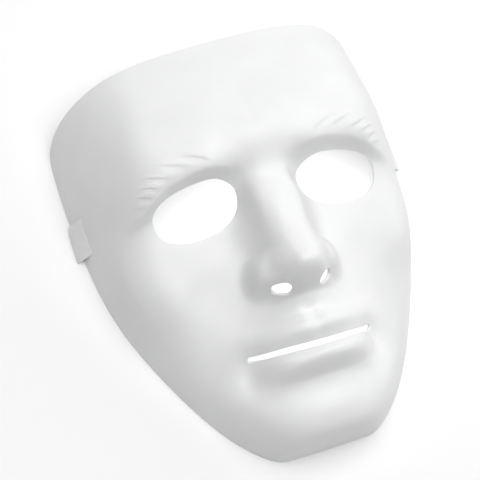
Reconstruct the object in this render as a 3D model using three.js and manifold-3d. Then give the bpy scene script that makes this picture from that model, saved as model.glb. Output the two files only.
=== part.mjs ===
// A blank full-face party mask, moulded in one piece of white plastic, lying face up on its rim.
// Millimetres. +X is the mask's left-to-right as seen from the front, +Y runs from chin to forehead,
// and +Z points out of the face. The origin is under the middle of the mask, on the floor. The face is
// drawn with y = 0 between the nose and the eyes, and moved as a whole onto that origin at the end.

import * as THREE from 'three';
import { mergeVertices } from 'three/addons/utils/BufferGeometryUtils.js';
import Module from 'manifold-3d';

const wasm = await Module();
wasm.setup();

// Shell
const WALL = 2;
const FRONT_POWER = 2.8;
const SIDE_POWER = 1.8;
const SECTION_FOOT = -22;
const SECTION_SHARE = 0.86;
const SKIRT_DROP = 10;
const FACE_SHIFT = -11.5;

// The middle line from the chin's rim to the top edge: place along the face, height of the crown and
// half width of the section there.
const STATIONS = [
  { place: 'chin rim', y: -95.7, crown: -4, half: 26 },
  { place: 'chin edge', y: -93, crown: 31.5, half: 33 },
  { place: 'chin', y: -78, crown: 41.5, half: 49.5 },
  { place: 'mouth', y: -49.5, crown: 50.5, half: 67.5 },
  { place: 'bridge of the nose', y: -1, crown: 57, half: 87.5 },
  { place: 'brow', y: 45.5, crown: 73.5, half: 93 },
  { place: 'forehead', y: 75, crown: 75.5, half: 93.5 },
  { place: 'top edge', y: 112.5, crown: 61.5, half: 92 },
];

// Rim: flat on the floor as far as the temples, then rising in one sweep to the top of the forehead.
const RIM = { liftFrom: 89.5, liftTo: 122, height: 85, power: 3.3 };

// Nose, along the face: how high it stands, half its width, and how square its section is. It fades
// into the brow above and into the lip below, its wings blend into it, and it leans a little to the right.
const NOSE = {
  height: [
    [-31, 2], [-28, 2.7], [-24.5, 6.3], [-21, 18.5], [-16, 27.9], [-9, 27.4],
    [8, 18.9], [24, 12.1], [36, 3.6], [46, 0.8], [56, 0.8],
  ],
  width: [[-31, 12.1], [-15, 15.2], [0, 15.2], [20, 15.5], [36, 14], [56, 16.9]],
  edge: [[-31, 2.45], [-15, 3.35], [0, 3.5], [20, 3.3], [36, 5], [56, 2.25]],
  fadeUp: [42, 64],
  fadeDown: [-27, -34],
  blend: 2.34,
  lean: 0.5,
};
const WING = { x: 16.4, y: -9.1, rx: 6.6, ry: 8.4, tilt: 18.7, power: 3.8, height: 13.9 };

// Swells and hollows of the face, one for each side: centre, radii, tilt in degrees, edge power, height.
const SWELLS = [
  { name: 'eye socket', x: 43.8, y: 17.7, rx: 23.8, ry: 24.3, tilt: -4.8, power: 3.3, height: -11.8 },
  { name: 'inner corner of the socket', x: 20.2, y: 34.1, rx: 6.8, ry: 8.1, tilt: 32.3, power: 2.5, height: -6.9 },
  { name: 'outer corner of the socket', x: 55.3, y: 36.9, rx: 8, ry: 7.3, tilt: 19.8, power: 2.3, height: -0.8 },
  { name: 'hood over the eye', x: 34.9, y: 45.8, rx: 16.9, ry: 3, tilt: 0, power: 2.3, height: 0.6 },
  { name: 'inner end of the brow', x: 12.9, y: 41.8, rx: 6, ry: 4.4, tilt: 0.6, power: 2, height: -1.1 },
  { name: 'under the eye', x: 38.4, y: 1.9, rx: 14, ry: 4.4, tilt: -4.7, power: 2, height: 0.5 },
  { name: 'cheekbone', x: 69.3, y: 4, rx: 27.3, ry: 16.2, tilt: -10.1, power: 2.6, height: 9.6 },
  { name: 'hollow of the cheek', x: 41.8, y: -36.6, rx: 13.3, ry: 25.2, tilt: -4.5, power: 2.3, height: -9.1 },
  { name: 'side of the nose', x: 11.2, y: 21.9, rx: 2.5, ry: 14.5, tilt: -2.6, power: 2, height: 1.6 },
  { name: 'tip of the nose', x: 0, y: -12.1, rx: 8.2, ry: 7.6, tilt: 0, power: 2.2, height: 0.8 },
  { name: 'crease of the wing', x: 24.8, y: -7.5, rx: 4.3, ry: 7.8, tilt: 0, power: 2, height: -0.6 },
  { name: 'fold beside the nose', x: 22.6, y: -23.5, rx: 11.3, ry: 11.2, tilt: 19, power: 2.3, height: -4.4 },
  { name: 'muzzle', x: 0, y: -36.8, rx: 14.4, ry: 17.8, tilt: 0, power: 2.4, height: 7.1 },
  { name: 'ridge beside the lip groove', x: 4.9, y: -37.8, rx: 1.7, ry: 5.2, tilt: 0, power: 2, height: 0.2 },
  { name: 'lip groove', x: 0, y: -37.6, rx: 2.9, ry: 5.6, tilt: 0, power: 2, height: -1.7 },
  { name: 'corner of the mouth', x: 33, y: -52.8, rx: 5.1, ry: 6.4, tilt: 4.1, power: 1.9, height: -5.4 },
  { name: 'edge of the lower lip', x: 14.1, y: -55.9, rx: 11.8, ry: 2.1, tilt: -10.3, power: 2, height: -0.8 },
  { name: 'hollow under the lip', x: 13.3, y: -66.4, rx: 11.2, ry: 2.4, tilt: -4.2, power: 2, height: -0.8 },
  { name: 'ball of the chin', x: 0, y: -77.8, rx: 9.5, ry: 6.6, tilt: 0, power: 2.8, height: 1.5 },
  { name: 'jaw', x: 39.6, y: -73.3, rx: 18.2, ry: 5.2, tilt: 52.2, power: 2.1, height: 2.8 },
  { name: 'side of the jaw', x: 48.2, y: -62.5, rx: 9, ry: 11.4, tilt: 22.6, power: 2.3, height: -1.4 },
  { name: 'between the brows', x: 0, y: 55.8, rx: 10.7, ry: 9.1, tilt: 0, power: 2.1, height: 3.8 },
  { name: 'forehead', x: 29.7, y: 70.5, rx: 22.7, ry: 12.6, tilt: -2.3, power: 2.3, height: 2.5 },
  { name: 'temple', x: 64.9, y: 64.4, rx: 12.2, ry: 32.3, tilt: 7.5, power: 1.8, height: 9.8 },
];
const BROW = {
  y: 44.1, arch: 3.8, archAt: 33.5, archWidth: 18.9, droop: 6.7, droopFrom: 48, droopTo: 72,
  startFrom: 8.1, startTo: 31.3, endFrom: 57.2, endTo: 79.4, height: 7.1, above: 12.2, below: 3.3,
};
const LIPS = {
  upper: { height: 3.9, from: -0.5, to: 7, fadeFrom: 8.2, fade: 16.7, halfWide: 33.9, power: 5.7 },
  lower: { height: 6.2, from: 0.6, to: 7.4, fadeFrom: 8.4, fade: 16.4, halfWide: 30.2, power: 5.6 },
  below: { depth: 2.6, y: -21.3, width: 7.5, halfWide: 30.8, power: 4.1 },
};

// Openings, each cut square to the surface: centre in plan, half sizes, tilt in degrees, edge power
const LEFT_EYE = { x: 38.4, y: 34.6, halfLong: 21.9, above: 9.1, below: 15.5, tilt: -2.6, power: 2.3 };
const RIGHT_EYE = { x: 40.1, y: 31.9, halfLong: 22.7, above: 10.3, below: 14.7, tilt: -5.2, power: 2.2 };
const NOSTRIL = { x: 12, y: -20.7, halfLong: 4.9, above: 1.4, below: 1.9, tilt: 33, power: 2.2 };
const SLOT = { y: -45.7, sag: 5.2, slope: -0.024, halfLong: 34.2, halfHigh: 1.15 };

// The line between the lips, which hangs a little lower at the middle line
const MOUTH = { y: -46, sag: 4, halfLong: 34.5 };

// Loops for the head strap, one on each side wall: a plate that leaves the wall at its front edge and
// stands off it towards the rim, where a leg carries it back. Its two ends are given along the wall, with
// the plate's front and rear edges as distances out from the wall and up it.
const LOOP = {
  y: 48.9,
  z: 7,
  plate: 0.8,
  leg: 0.8,
  legSlope: -0.25,
  ends: [
    { along: -10.15, front: [-0.76, 4.95], rear: [3.15, -7.49] },
    { along: 9.4, front: [0.3, 7.29], rear: [2.88, -4.84] },
  ],
};

// Grid of the facets: rows along the face, closer where the carving is finer, and columns across
const ROWS = [
  { from: -0.01, to: 0.143, count: 5 },
  { from: 0.143, to: 0.286, count: 5 },
  { from: 0.286, to: 0.43, count: 9 },
  { from: 0.43, to: 0.57, count: 13 },
  { from: 0.57, to: 0.74, count: 9 },
  { from: 0.74, to: 0.86, count: 4 },
  { from: 0.86, to: 1.03, count: 5 },
];
const COLUMNS = 42;
const MIDDLE_DENSITY = 0.45;

const PLASTIC = new THREE.MeshStandardMaterial({ color: 0xf1f1f0, roughness: 0.42, metalness: 0 });

/** Natural cubic spline through a few knots, straight beyond its ends. */
class Spline {
  constructor(knots, values) {
    this.knots = knots;
    this.values = values;
    this.bends = Spline.solveBends(knots, values);
  }

  /** Second derivatives at the knots, by elimination down and back up. */
  static solveBends(knots, values) {
    const last = knots.length - 1;
    const upper = new Array(last + 1).fill(0);
    const right = new Array(last + 1).fill(0);
    for (let i = 1; i < last; i += 1) {
      const before = knots[i] - knots[i - 1];
      const after = knots[i + 1] - knots[i];
      const slopes = (values[i + 1] - values[i]) / after - (values[i] - values[i - 1]) / before;
      const pivot = 2 * (before + after) - before * upper[i - 1];
      upper[i] = after / pivot;
      right[i] = (6 * slopes - before * right[i - 1]) / pivot;
    }
    const bends = new Array(last + 1).fill(0);
    for (let i = last - 1; i > 0; i -= 1) bends[i] = right[i] - upper[i] * bends[i + 1];
    return bends;
  }

  at(place) {
    const { knots, values, bends } = this;
    const last = knots.length - 1;
    let i = 0;
    while (i < last - 1 && place > knots[i + 1]) i += 1;
    const step = knots[i + 1] - knots[i];
    const inside = Math.min(Math.max(place, knots[0]), knots[last]);
    const t = (inside - knots[i]) / step;
    const g = 1 - t;
    const curve = ((g ** 3 - g) * bends[i] + (t ** 3 - t) * bends[i + 1]) * step * step / 6;
    const value = g * values[i] + t * values[i + 1] + curve;
    if (place === inside) return value;
    const slope = (values[i + 1] - values[i]) / step;
    const end = place < inside ? -(2 * bends[i] + bends[i + 1]) : bends[i] + 2 * bends[i + 1];
    return value + (place - inside) * (slope + end * step / 6);
  }

  /** The spline's value, held level beyond its ends. */
  within(place) {
    return this.at(Math.min(Math.max(place, this.knots[0]), this.knots[this.knots.length - 1]));
  }
}

const evenKnots = STATIONS.map((_, i) => i / (STATIONS.length - 1));
const spineY = new Spline(evenKnots, STATIONS.map((station) => station.y));
const spineCrown = new Spline(evenKnots, STATIONS.map((station) => station.crown));
const spineHalf = new Spline(evenKnots, STATIONS.map((station) => station.half));

const fromPairs = (pairs) => new Spline(pairs.map((pair) => pair[0]), pairs.map((pair) => pair[1]));
const noseHeight = fromPairs(NOSE.height);
const noseWidth = fromPairs(NOSE.width);
const noseEdge = fromPairs(NOSE.edge);

/** 0 at one end, 1 at the other, level at both. */
function ease(from, to, value) {
  const t = Math.min(Math.max((value - from) / (to - from), 0), 1);
  return t * t * (3 - 2 * t);
}

/** A bell of height 1 over an ellipse, flatter on top as its power grows. */
function bell(x, y, { x: cx, y: cy, rx, ry, tilt, power }) {
  const turn = THREE.MathUtils.degToRad(tilt);
  const dx = x - cx;
  const dy = y - cy;
  const along = (dx * Math.cos(turn) + dy * Math.sin(turn)) / rx;
  const across = (-dx * Math.sin(turn) + dy * Math.cos(turn)) / ry;
  return Math.exp(-(Math.hypot(along, across) ** power) / 2);
}

/** Height of the nose over the face, with its wings. */
function noseAt(x, y) {
  const side = Math.abs(x - NOSE.lean);
  const fade = (1 - ease(...NOSE.fadeUp, y)) * (1 - ease(-NOSE.fadeDown[0], -NOSE.fadeDown[1], -y));
  const section = Math.exp(-((side / noseWidth.within(y)) ** noseEdge.within(y)));
  const nose = Math.max(noseHeight.within(y), 0) * fade * section;
  const wing = WING.height * bell(side, y, WING);
  return (nose ** NOSE.blend + wing ** NOSE.blend) ** (1 / NOSE.blend);
}

/** Height of the ridge over the eyes, steeper below than above. */
function browAt(side, y) {
  const arch = BROW.arch * Math.exp(-(((side - BROW.archAt) / BROW.archWidth) ** 2));
  const line = BROW.y + arch - BROW.droop * ease(BROW.droopFrom, BROW.droopTo, side);
  const reach = ease(BROW.startFrom, BROW.startTo, side) * (1 - ease(BROW.endFrom, BROW.endTo, side));
  const width = y > line ? BROW.above : BROW.below;
  return BROW.height * reach * Math.exp(-(((y - line) / width) ** 2));
}

/** The middle of the mouth opening, which hangs a little lower at the middle line. */
function mouthLine(side) {
  return MOUTH.y - MOUTH.sag * (1 - Math.min(side / MOUTH.halfLong, 1) ** 2);
}

/** Both lips and the hollow below them, as steps up from the mouth opening. */
function lipsAt(side, y) {
  const above = y - mouthLine(side);
  const { upper, lower, below } = LIPS;
  const within = ({ halfWide, power }) => Math.exp(-((side / halfWide) ** power));
  const up = ease(upper.from, upper.to, above) - ease(upper.fadeFrom, upper.fade, above);
  const down = ease(lower.from, lower.to, -above) - ease(lower.fadeFrom, lower.fade, -above);
  const hollow = Math.exp(-(((above - below.y) / below.width) ** 2));
  return upper.height * within(upper) * up + lower.height * within(lower) * down
    - below.depth * within(below) * hollow;
}

/** Everything carved on the face, as a height over the plain shell. */
function reliefAt(x, y) {
  const side = Math.abs(x);
  const swells = SWELLS.reduce((sum, swell) => sum + swell.height * bell(side, y, swell), 0);
  return swells + browAt(side, y) + noseAt(x, y) + lipsAt(side, y);
}

/** A point of the outer surface: u runs across from -1 to 1, v along from chin to forehead. */
function surfaceAt(u, v) {
  const share = Math.abs(u);
  const reach = Math.sin(Math.min(share / SECTION_SHARE, 1) * Math.PI / 2);
  const crown = spineCrown.at(v);
  const x = spineHalf.at(v) * Math.sign(u) * reach;
  const y = spineY.at(v);
  const fall = 1 - Math.max(1 - reach ** FRONT_POWER, 0) ** (1 / SIDE_POWER);
  const skirt = SKIRT_DROP * Math.max(share - SECTION_SHARE, 0) / (1 - SECTION_SHARE);
  const front = (1 - ease(0.86, 0.98, reach)) * ease(0.02, 0.16, v);
  const z = crown - (crown - SECTION_FOOT) * fall - skirt + front * reliefAt(x, y);
  return new THREE.Vector3(x, y, z);
}

/** Outward normal of the surface, from its own slopes. */
function normalAt(u, v) {
  const step = 1e-3;
  const across = surfaceAt(u + step, v).sub(surfaceAt(u - step, v));
  const along = surfaceAt(u, v + step).sub(surfaceAt(u, v - step));
  return across.cross(along).normalize();
}

/** Row places along the face. */
function rowPlaces() {
  const places = [ROWS[0].from];
  for (const { from, to, count } of ROWS) {
    for (let i = 1; i <= count; i += 1) places.push(from + (to - from) * i / count);
  }
  return places;
}

/** Column places across the face, closest in the middle. */
function columnPlaces() {
  const places = [];
  for (let i = 0; i <= COLUMNS; i += 1) {
    const t = 2 * i / COLUMNS - 1;
    places.push(t * (MIDDLE_DENSITY + (1 - MIDDLE_DENSITY) * t * t));
  }
  return places;
}

/**
 * Closed blank of the shell: the outer sheet, the inner one a wall behind it, and their edges joined.
 * Each cell is split along the diagonal that lies closer to the surface.
 */
function shellBlank() {
  const rows = rowPlaces();
  const columns = columnPlaces();
  const width = columns.length;
  const sheet = rows.length * width;
  const points = [];
  for (const depth of [0, WALL]) {
    for (const v of rows) {
      for (const u of columns) points.push(surfaceAt(u, v).addScaledVector(normalAt(u, v), -depth));
    }
  }
  const indices = [];
  const quad = (a, b, c, d) => indices.push(a, b, c, a, c, d);
  for (let row = 0; row < rows.length - 1; row += 1) {
    for (let column = 0; column < width - 1; column += 1) {
      const a = row * width + column;
      const [b, c, d] = [a + 1, a + width + 1, a + width];
      const centre = surfaceAt((columns[column] + columns[column + 1]) / 2, (rows[row] + rows[row + 1]) / 2);
      const miss = (p, q) => points[p].clone().lerp(points[q], 0.5).distanceTo(centre);
      if (miss(a, c) < miss(b, d)) {
        quad(a, b, c, d);
        quad(sheet + a, sheet + d, sheet + c, sheet + b);
      } else {
        quad(b, c, d, a);
        quad(sheet + b, sheet + a, sheet + d, sheet + c);
      }
    }
  }
  const top = (rows.length - 1) * width;
  for (let column = 0; column < width - 1; column += 1) {
    quad(column, sheet + column, sheet + column + 1, column + 1);
    quad(top + column + 1, sheet + top + column + 1, sheet + top + column, top + column);
  }
  for (let row = 0; row < rows.length - 1; row += 1) {
    const left = row * width;
    const right = left + width - 1;
    quad(left + width, sheet + left + width, sheet + left, left);
    quad(right, sheet + right, sheet + right + width, right + width);
  }
  const geometry = new THREE.BufferGeometry();
  geometry.setFromPoints(points);
  geometry.setIndex(indices);
  return geometry;
}

/** A three.js geometry as a solid that can be joined and cut. */
function toSolid(geometry) {
  const bare = geometry.clone();
  bare.deleteAttribute('normal');
  bare.deleteAttribute('uv');
  const merged = mergeVertices(bare, 1e-4);
  return new wasm.Manifold(new wasm.Mesh({
    numProp: 3,
    vertProperties: new Float32Array(merged.attributes.position.array),
    triVerts: new Uint32Array(merged.index.array),
  }));
}

/** A solid back as a three.js geometry. */
function toGeometry(solid) {
  const mesh = solid.getMesh();
  const geometry = new THREE.BufferGeometry();
  geometry.setAttribute('position', new THREE.BufferAttribute(new Float32Array(mesh.vertProperties), 3));
  geometry.setIndex(new THREE.BufferAttribute(new Uint32Array(mesh.triVerts), 1));
  geometry.computeVertexNormals();
  return geometry;
}

/** Everything below the rim, as a side view drawn in y and z and run across the mask. */
function belowRim() {
  const reach = 140;
  const depth = -60;
  const sweep = 14;
  const outline = new THREE.Shape();
  outline.moveTo(-reach, depth);
  outline.lineTo(reach, depth);
  outline.lineTo(reach, RIM.height * 2);
  for (let i = sweep; i >= 0; i -= 1) {
    const share = 1.12 * i / sweep;
    outline.lineTo(RIM.liftFrom + share * (RIM.liftTo - RIM.liftFrom), RIM.height * share ** RIM.power);
  }
  outline.lineTo(-reach, 0);
  const cutter = new THREE.ExtrudeGeometry(outline, { depth: 2 * reach, bevelEnabled: false, steps: 1 });
  cutter.translate(0, 0, -reach);
  const sideways = new THREE.Matrix4().makeBasis(
    new THREE.Vector3(0, 1, 0),
    new THREE.Vector3(0, 0, 1),
    new THREE.Vector3(1, 0, 0),
  );
  return cutter.applyMatrix4(sideways);
}

/** Where a value that rises with place passes a limit, by halving. */
function halve(low, high, isPast) {
  let [from, to] = [low, high];
  for (let i = 0; i < 40; i += 1) {
    const middle = (from + to) / 2;
    if (isPast(middle)) to = middle;
    else from = middle;
  }
  return (from + to) / 2;
}

/** The point over a plan place on the outer surface, and the normal there. */
function overPlan(x, y) {
  const v = halve(0, 1, (place) => spineY.at(place) > y);
  const reach = THREE.MathUtils.clamp(x / spineHalf.at(v), -1, 1);
  const u = SECTION_SHARE * Math.asin(reach) / (Math.PI / 2);
  return { point: surfaceAt(u, v), normal: normalAt(u, v) };
}

/** A closed solid through rings of points, all rings with as many points and in the same turn. */
function loft(rings) {
  const size = rings[0].length;
  const positions = rings.flat().flatMap((point) => [point.x, point.y, point.z]);
  const indices = [];
  for (let ring = 0; ring < rings.length - 1; ring += 1) {
    for (let k = 0; k < size; k += 1) {
      const a = ring * size + k;
      const b = ring * size + (k + 1) % size;
      indices.push(a, b, b + size, a, b + size, a + size);
    }
  }
  const last = (rings.length - 1) * size;
  for (let k = 1; k < size - 1; k += 1) {
    indices.push(0, k + 1, k);
    indices.push(last, last + k, last + k + 1);
  }
  const geometry = new THREE.BufferGeometry();
  geometry.setAttribute('position', new THREE.Float32BufferAttribute(positions, 3));
  geometry.setIndex(indices);
  return geometry;
}

/** A cutter square to the surface, through pairs of plan points on an opening's two edges. */
function openingCutter(pairs, outward, inward) {
  return loft(pairs.map(([high, low]) => {
    const [top, bottom] = [overPlan(...high), overPlan(...low)];
    const moved = ({ point, normal }, distance) => point.clone().addScaledVector(normal, distance);
    return [moved(top, outward), moved(bottom, outward), moved(bottom, -inward), moved(top, -inward)];
  }));
}

/** Pairs of plan points across a rounded opening on the right half of the face. */
function ovalPairs({ x, y, halfLong, above, below, tilt, power }, count) {
  const turn = THREE.MathUtils.degToRad(tilt);
  const turned = (along, across) => [
    x + along * Math.cos(turn) - across * Math.sin(turn),
    y + along * Math.sin(turn) + across * Math.cos(turn),
  ];
  const pairs = [];
  for (let i = 0; i < count; i += 1) {
    const angle = Math.PI * (1 - (i + 0.5) / count);
    const along = halfLong * Math.sign(Math.cos(angle)) * Math.abs(Math.cos(angle)) ** (2 / power);
    const across = Math.sin(angle) ** (2 / power);
    pairs.push([turned(along, above * across), turned(along, -below * across)]);
  }
  return pairs;
}

/** Pairs of plan points across the opening of the mouth: a narrow slot with round ends. */
function slotPairs(count) {
  const { y, sag, slope, halfLong, halfHigh } = SLOT;
  const pairs = [];
  for (let i = 0; i < count; i += 1) {
    const x = -halfLong * Math.cos(Math.PI * (i + 0.5) / count);
    const past = Math.max(Math.abs(x) - (halfLong - halfHigh), 0) / halfHigh;
    const high = halfHigh * Math.sqrt(1 - past ** 2);
    const middle = y - sag * (1 - (x / halfLong) ** 2) + slope * x;
    pairs.push([[x, middle + high], [x, middle - high]]);
  }
  return pairs;
}

/** A closed geometry turned into its mirror image across the middle plane. */
function mirrored(geometry) {
  const image = geometry.clone().scale(-1, 1, 1);
  const index = image.index.array;
  for (let i = 0; i < index.length; i += 3) [index[i], index[i + 1]] = [index[i + 1], index[i]];
  return image;
}

/** Where two lines of a plane cross, each given by a point and a direction. */
function crossing(start, direction, otherStart, otherDirection) {
  const distance = otherStart.clone().sub(start).cross(otherDirection) / direction.cross(otherDirection);
  return start.clone().addScaledVector(direction, distance);
}

/** A strap loop's section at one end, out from the wall and up it: its outline, and its tunnel. */
function loopSection({ front, rear }) {
  const start = new THREE.Vector2(...front);
  const end = new THREE.Vector2(...rear);
  const plate = end.clone().sub(start).normalize();
  const leg = new THREE.Vector2(-1, -LOOP.legSlope).normalize();
  const wall = new THREE.Vector2(0, 1);
  const root = new THREE.Vector2(start.x - WALL * 0.4, 0);
  const floor = new THREE.Vector2(start.x - WALL * 0.2, 0);
  const underPlate = start.clone().addScaledVector(new THREE.Vector2(plate.y, -plate.x), LOOP.plate);
  const overLeg = end.clone().addScaledVector(new THREE.Vector2(leg.y, -leg.x), LOOP.leg);
  return {
    outline: [start, end, crossing(end, leg, root, wall), new THREE.Vector2(root.x, start.y)],
    tunnel: [
      crossing(underPlate, plate, floor, wall),
      crossing(underPlate, plate, overLeg, leg),
      crossing(overLeg, leg, floor, wall),
    ],
  };
}

/** The place on the surface's right half that lies at a given y and z of the side wall. */
function wallPlace(y, z) {
  const v = halve(0.2, 1, (place) => spineY.at(place) > y);
  const u = halve(0.5, 1, (place) => surfaceAt(place, v).z < z);
  return { point: surfaceAt(u, v), normal: normalAt(u, v) };
}

/** A loop on the right side wall: a plate and its leg, rooted in the shell, with a tunnel through both ends. */
function strapLoop() {
  const { point, normal } = wallPlace(LOOP.y, LOOP.z);
  const along = new THREE.Vector3(0, 1, 0);
  const outward = normal.setY(0).normalize();
  const rise = outward.clone().cross(along).normalize();
  const place = new THREE.Matrix4().makeBasis(outward, along, rise).setPosition(point);
  const solidOf = (name, stretch) => toSolid(loft(LOOP.ends.map((end) => loopSection(end)[name].map(
    (corner) => new THREE.Vector3(corner.x, end.along * stretch, corner.y).applyMatrix4(place),
  ))));
  return toGeometry(solidOf('outline', 1).subtract(solidOf('tunnel', 1.2)));
}

/** The whole mask: the shell trimmed at its rim, with its two loops, opened at mouth, eyes and nostrils. */
function maskGeometry() {
  const loop = strapLoop();
  const nostril = openingCutter(ovalPairs(NOSTRIL, 8), 2, WALL + 3);
  const cutters = [
    belowRim(),
    openingCutter(slotPairs(16), 3, WALL + 4),
    openingCutter(ovalPairs(RIGHT_EYE, 18), 3, WALL + 10),
    mirrored(openingCutter(ovalPairs(LEFT_EYE, 18), 3, WALL + 10)),
    nostril,
    mirrored(nostril),
  ];
  const solid = toSolid(shellBlank()).add(toSolid(loop)).add(toSolid(mirrored(loop)));
  return toGeometry(cutters.reduce((mask, cutter) => mask.subtract(toSolid(cutter)), solid));
}

const part = new THREE.Group();
const shell = new THREE.Mesh(maskGeometry(), PLASTIC);
shell.name = 'mask_shell';
shell.position.y = FACE_SHIFT;
part.add(shell);

export default part;
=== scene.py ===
"""A blank white full-face party mask, lying face up on a pale studio floor.

The face is one sheet of moulded plastic whose outer side follows a rule: a section across the face,
run from the chin to the forehead, with the nose, brow, lips and swells of the face on top of it. The
sheet is cut back to its openings and its rim, given its wall and rounded edges, and gets its two strap
loops. Sizes are in millimetres, in the face's own frame: +X across the face, +Y from chin to forehead,
+Z out of the face, with y = 0 between the nose and the eyes. Finished meshes are in metres.
"""

import logging
import math
from collections.abc import Callable
from dataclasses import dataclass, field
from enum import Enum

import bmesh
import bpy
import numpy as np
from mathutils import Matrix, Vector


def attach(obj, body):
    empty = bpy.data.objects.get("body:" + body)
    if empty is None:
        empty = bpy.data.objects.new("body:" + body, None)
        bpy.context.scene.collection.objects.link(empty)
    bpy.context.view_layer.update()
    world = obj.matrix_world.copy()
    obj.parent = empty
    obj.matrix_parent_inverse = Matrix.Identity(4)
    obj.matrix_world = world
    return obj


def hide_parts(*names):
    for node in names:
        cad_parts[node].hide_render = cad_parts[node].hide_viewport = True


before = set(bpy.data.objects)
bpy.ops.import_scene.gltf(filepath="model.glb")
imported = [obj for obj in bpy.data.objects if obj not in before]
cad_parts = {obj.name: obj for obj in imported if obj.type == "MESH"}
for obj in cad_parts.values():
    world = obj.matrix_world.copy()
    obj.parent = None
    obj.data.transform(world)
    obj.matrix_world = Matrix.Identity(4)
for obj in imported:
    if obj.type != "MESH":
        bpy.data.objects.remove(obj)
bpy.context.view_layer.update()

log = logging.getLogger("mask")

Array = np.ndarray
Span = tuple[float, float]
Colour = tuple[float, float, float, float]

MM = 0.001
WALL = 2.0
FACE_SHIFT = -11.5
HALVINGS = 40
CUT_HALVINGS = 16
SNAP_ROUNDS = 4
TINY = 1e-9
LEVEL_GROUND = 1e-12


class Side(Enum):
    """The two halves of the face, as the sign of x."""

    LEFT = -1
    RIGHT = 1


class Sheet(Enum):
    """The two faces of the moulded wall."""

    OUTER = 1.0
    INNER = 0.0


def ease(start: float, end: float, value: Array) -> Array:
    """0 up to start, 1 from end on, level at both."""
    t = np.clip((value - start) / (end - start), 0.0, 1.0)
    return t * t * (3.0 - 2.0 * t)


def halve(low: Array, high: Array,
          beyond: Callable[[Array], Array]) -> tuple[Array, Array]:
    """Narrows each span from low to high down to the place where beyond turns true."""
    for _ in range(HALVINGS):
        middle = (low + high) / 2.0
        past = beyond(middle)
        low, high = np.where(past, low, middle), np.where(past, middle, high)
    return low, high


def place_object(name: str, data: bpy.types.ID) -> bpy.types.Object:
    """Adds an object with the given data to the scene."""
    placed = bpy.data.objects.new(name, data)
    bpy.context.scene.collection.objects.link(placed)
    return placed


class Spline:
    """A natural cubic spline through a few knots, straight beyond its ends."""

    def __init__(self, knots: list[float], values: list[float]) -> None:
        """Solves for the second derivatives at the knots."""
        self.knots = np.array(knots, float)
        self.values = np.array(values, float)
        count = len(knots)
        steps = np.diff(self.knots)
        rows = np.eye(count)
        right = np.zeros(count)
        slopes = np.diff(self.values) / steps
        for i in range(1, count - 1):
            rows[i, i - 1 : i + 2] = steps[i - 1], 2.0 * (steps[i - 1] + steps[i]), steps[i]
            right[i] = 6.0 * (slopes[i] - slopes[i - 1])
        self.bends = np.linalg.solve(rows, right)

    def at(self, place: Array) -> Array:
        """The spline's value at each place."""
        knots, values, bends = self.knots, self.values, self.bends
        inside = np.clip(place, knots[0], knots[-1])
        i = np.clip(np.searchsorted(knots, inside) - 1, 0, len(knots) - 2)
        step = knots[i + 1] - knots[i]
        t = (inside - knots[i]) / step
        g = 1.0 - t
        curve = ((g**3 - g) * bends[i] + (t**3 - t) * bends[i + 1]) * step**2 / 6.0
        slope = (values[i + 1] - values[i]) / step
        end = np.where(place < inside, -(2.0 * bends[i] + bends[i + 1]), bends[i] + 2.0 * bends[i + 1])
        beyond = (place - inside) * (slope + end * step / 6.0)
        return g * values[i] + t * values[i + 1] + curve + beyond

    def within(self, place: Array) -> Array:
        """The spline's value, held level beyond its ends."""
        return self.at(np.clip(place, self.knots[0], self.knots[-1]))


@dataclass(frozen=True)
class Station:
    """A place on the middle line: along the face, height of the crown and half width of the section."""

    y: float
    crown: float
    half: float


@dataclass(frozen=True)
class Swell:
    """A swell or hollow, on both halves of the face: centre, radii, tilt, edge power and height."""

    name: str
    x: float
    y: float
    rx: float
    ry: float
    tilt: float
    power: float
    height: float

    def share(self, side: Array, y: Array) -> Array:
        """A bell of height 1 over the swell's ellipse."""
        turn = math.radians(self.tilt)
        dx, dy = side - self.x, y - self.y
        along = (dx * math.cos(turn) + dy * math.sin(turn)) / self.rx
        across = (-dx * math.sin(turn) + dy * math.cos(turn)) / self.ry
        return np.exp(-(np.hypot(along, across) ** self.power) / 2.0)


@dataclass(frozen=True)
class Nose:
    """The nose, as (y, value) pairs along the face: how high it stands, half its width, how square it is."""

    height: tuple = (
        (-31, 2), (-28, 2.7), (-24.5, 6.3), (-21, 18.5), (-16, 27.9), (-9, 27.4),
        (8, 18.9), (24, 12.1), (36, 3.6), (46, 0.8), (56, 0.8),
    )
    width: tuple = ((-31, 12.1), (-15, 15.2), (0, 15.2), (20, 15.5), (36, 14), (56, 16.9))
    edge: tuple = ((-31, 2.45), (-15, 3.35), (0, 3.5), (20, 3.3), (36, 5), (56, 2.25))
    fade_up: Span = (42.0, 64.0)
    fade_down: Span = (27.0, 34.0)
    blend: float = 2.34
    lean: float = 0.5
    wing: Swell = Swell("wing of the nose", 16.4, -9.1, 6.6, 8.4, 18.7, 3.8, 13.9)

    def relief(self, x: Array, y: Array) -> Array:
        """Height of the nose and its wings over the face; the nose leans a little to the right."""
        side = np.abs(x - self.lean)
        height, width, edge = (Spline(*zip(*pairs)).within(y)
                               for pairs in (self.height, self.width, self.edge))
        fade = (1.0 - ease(*self.fade_up, y)) * (1.0 - ease(*self.fade_down, -y))
        ridge = np.maximum(height, 0.0) * fade * np.exp(-((side / width) ** edge))
        wing = self.wing.height * self.wing.share(side, y)
        return (ridge**self.blend + wing**self.blend) ** (1.0 / self.blend)


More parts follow.
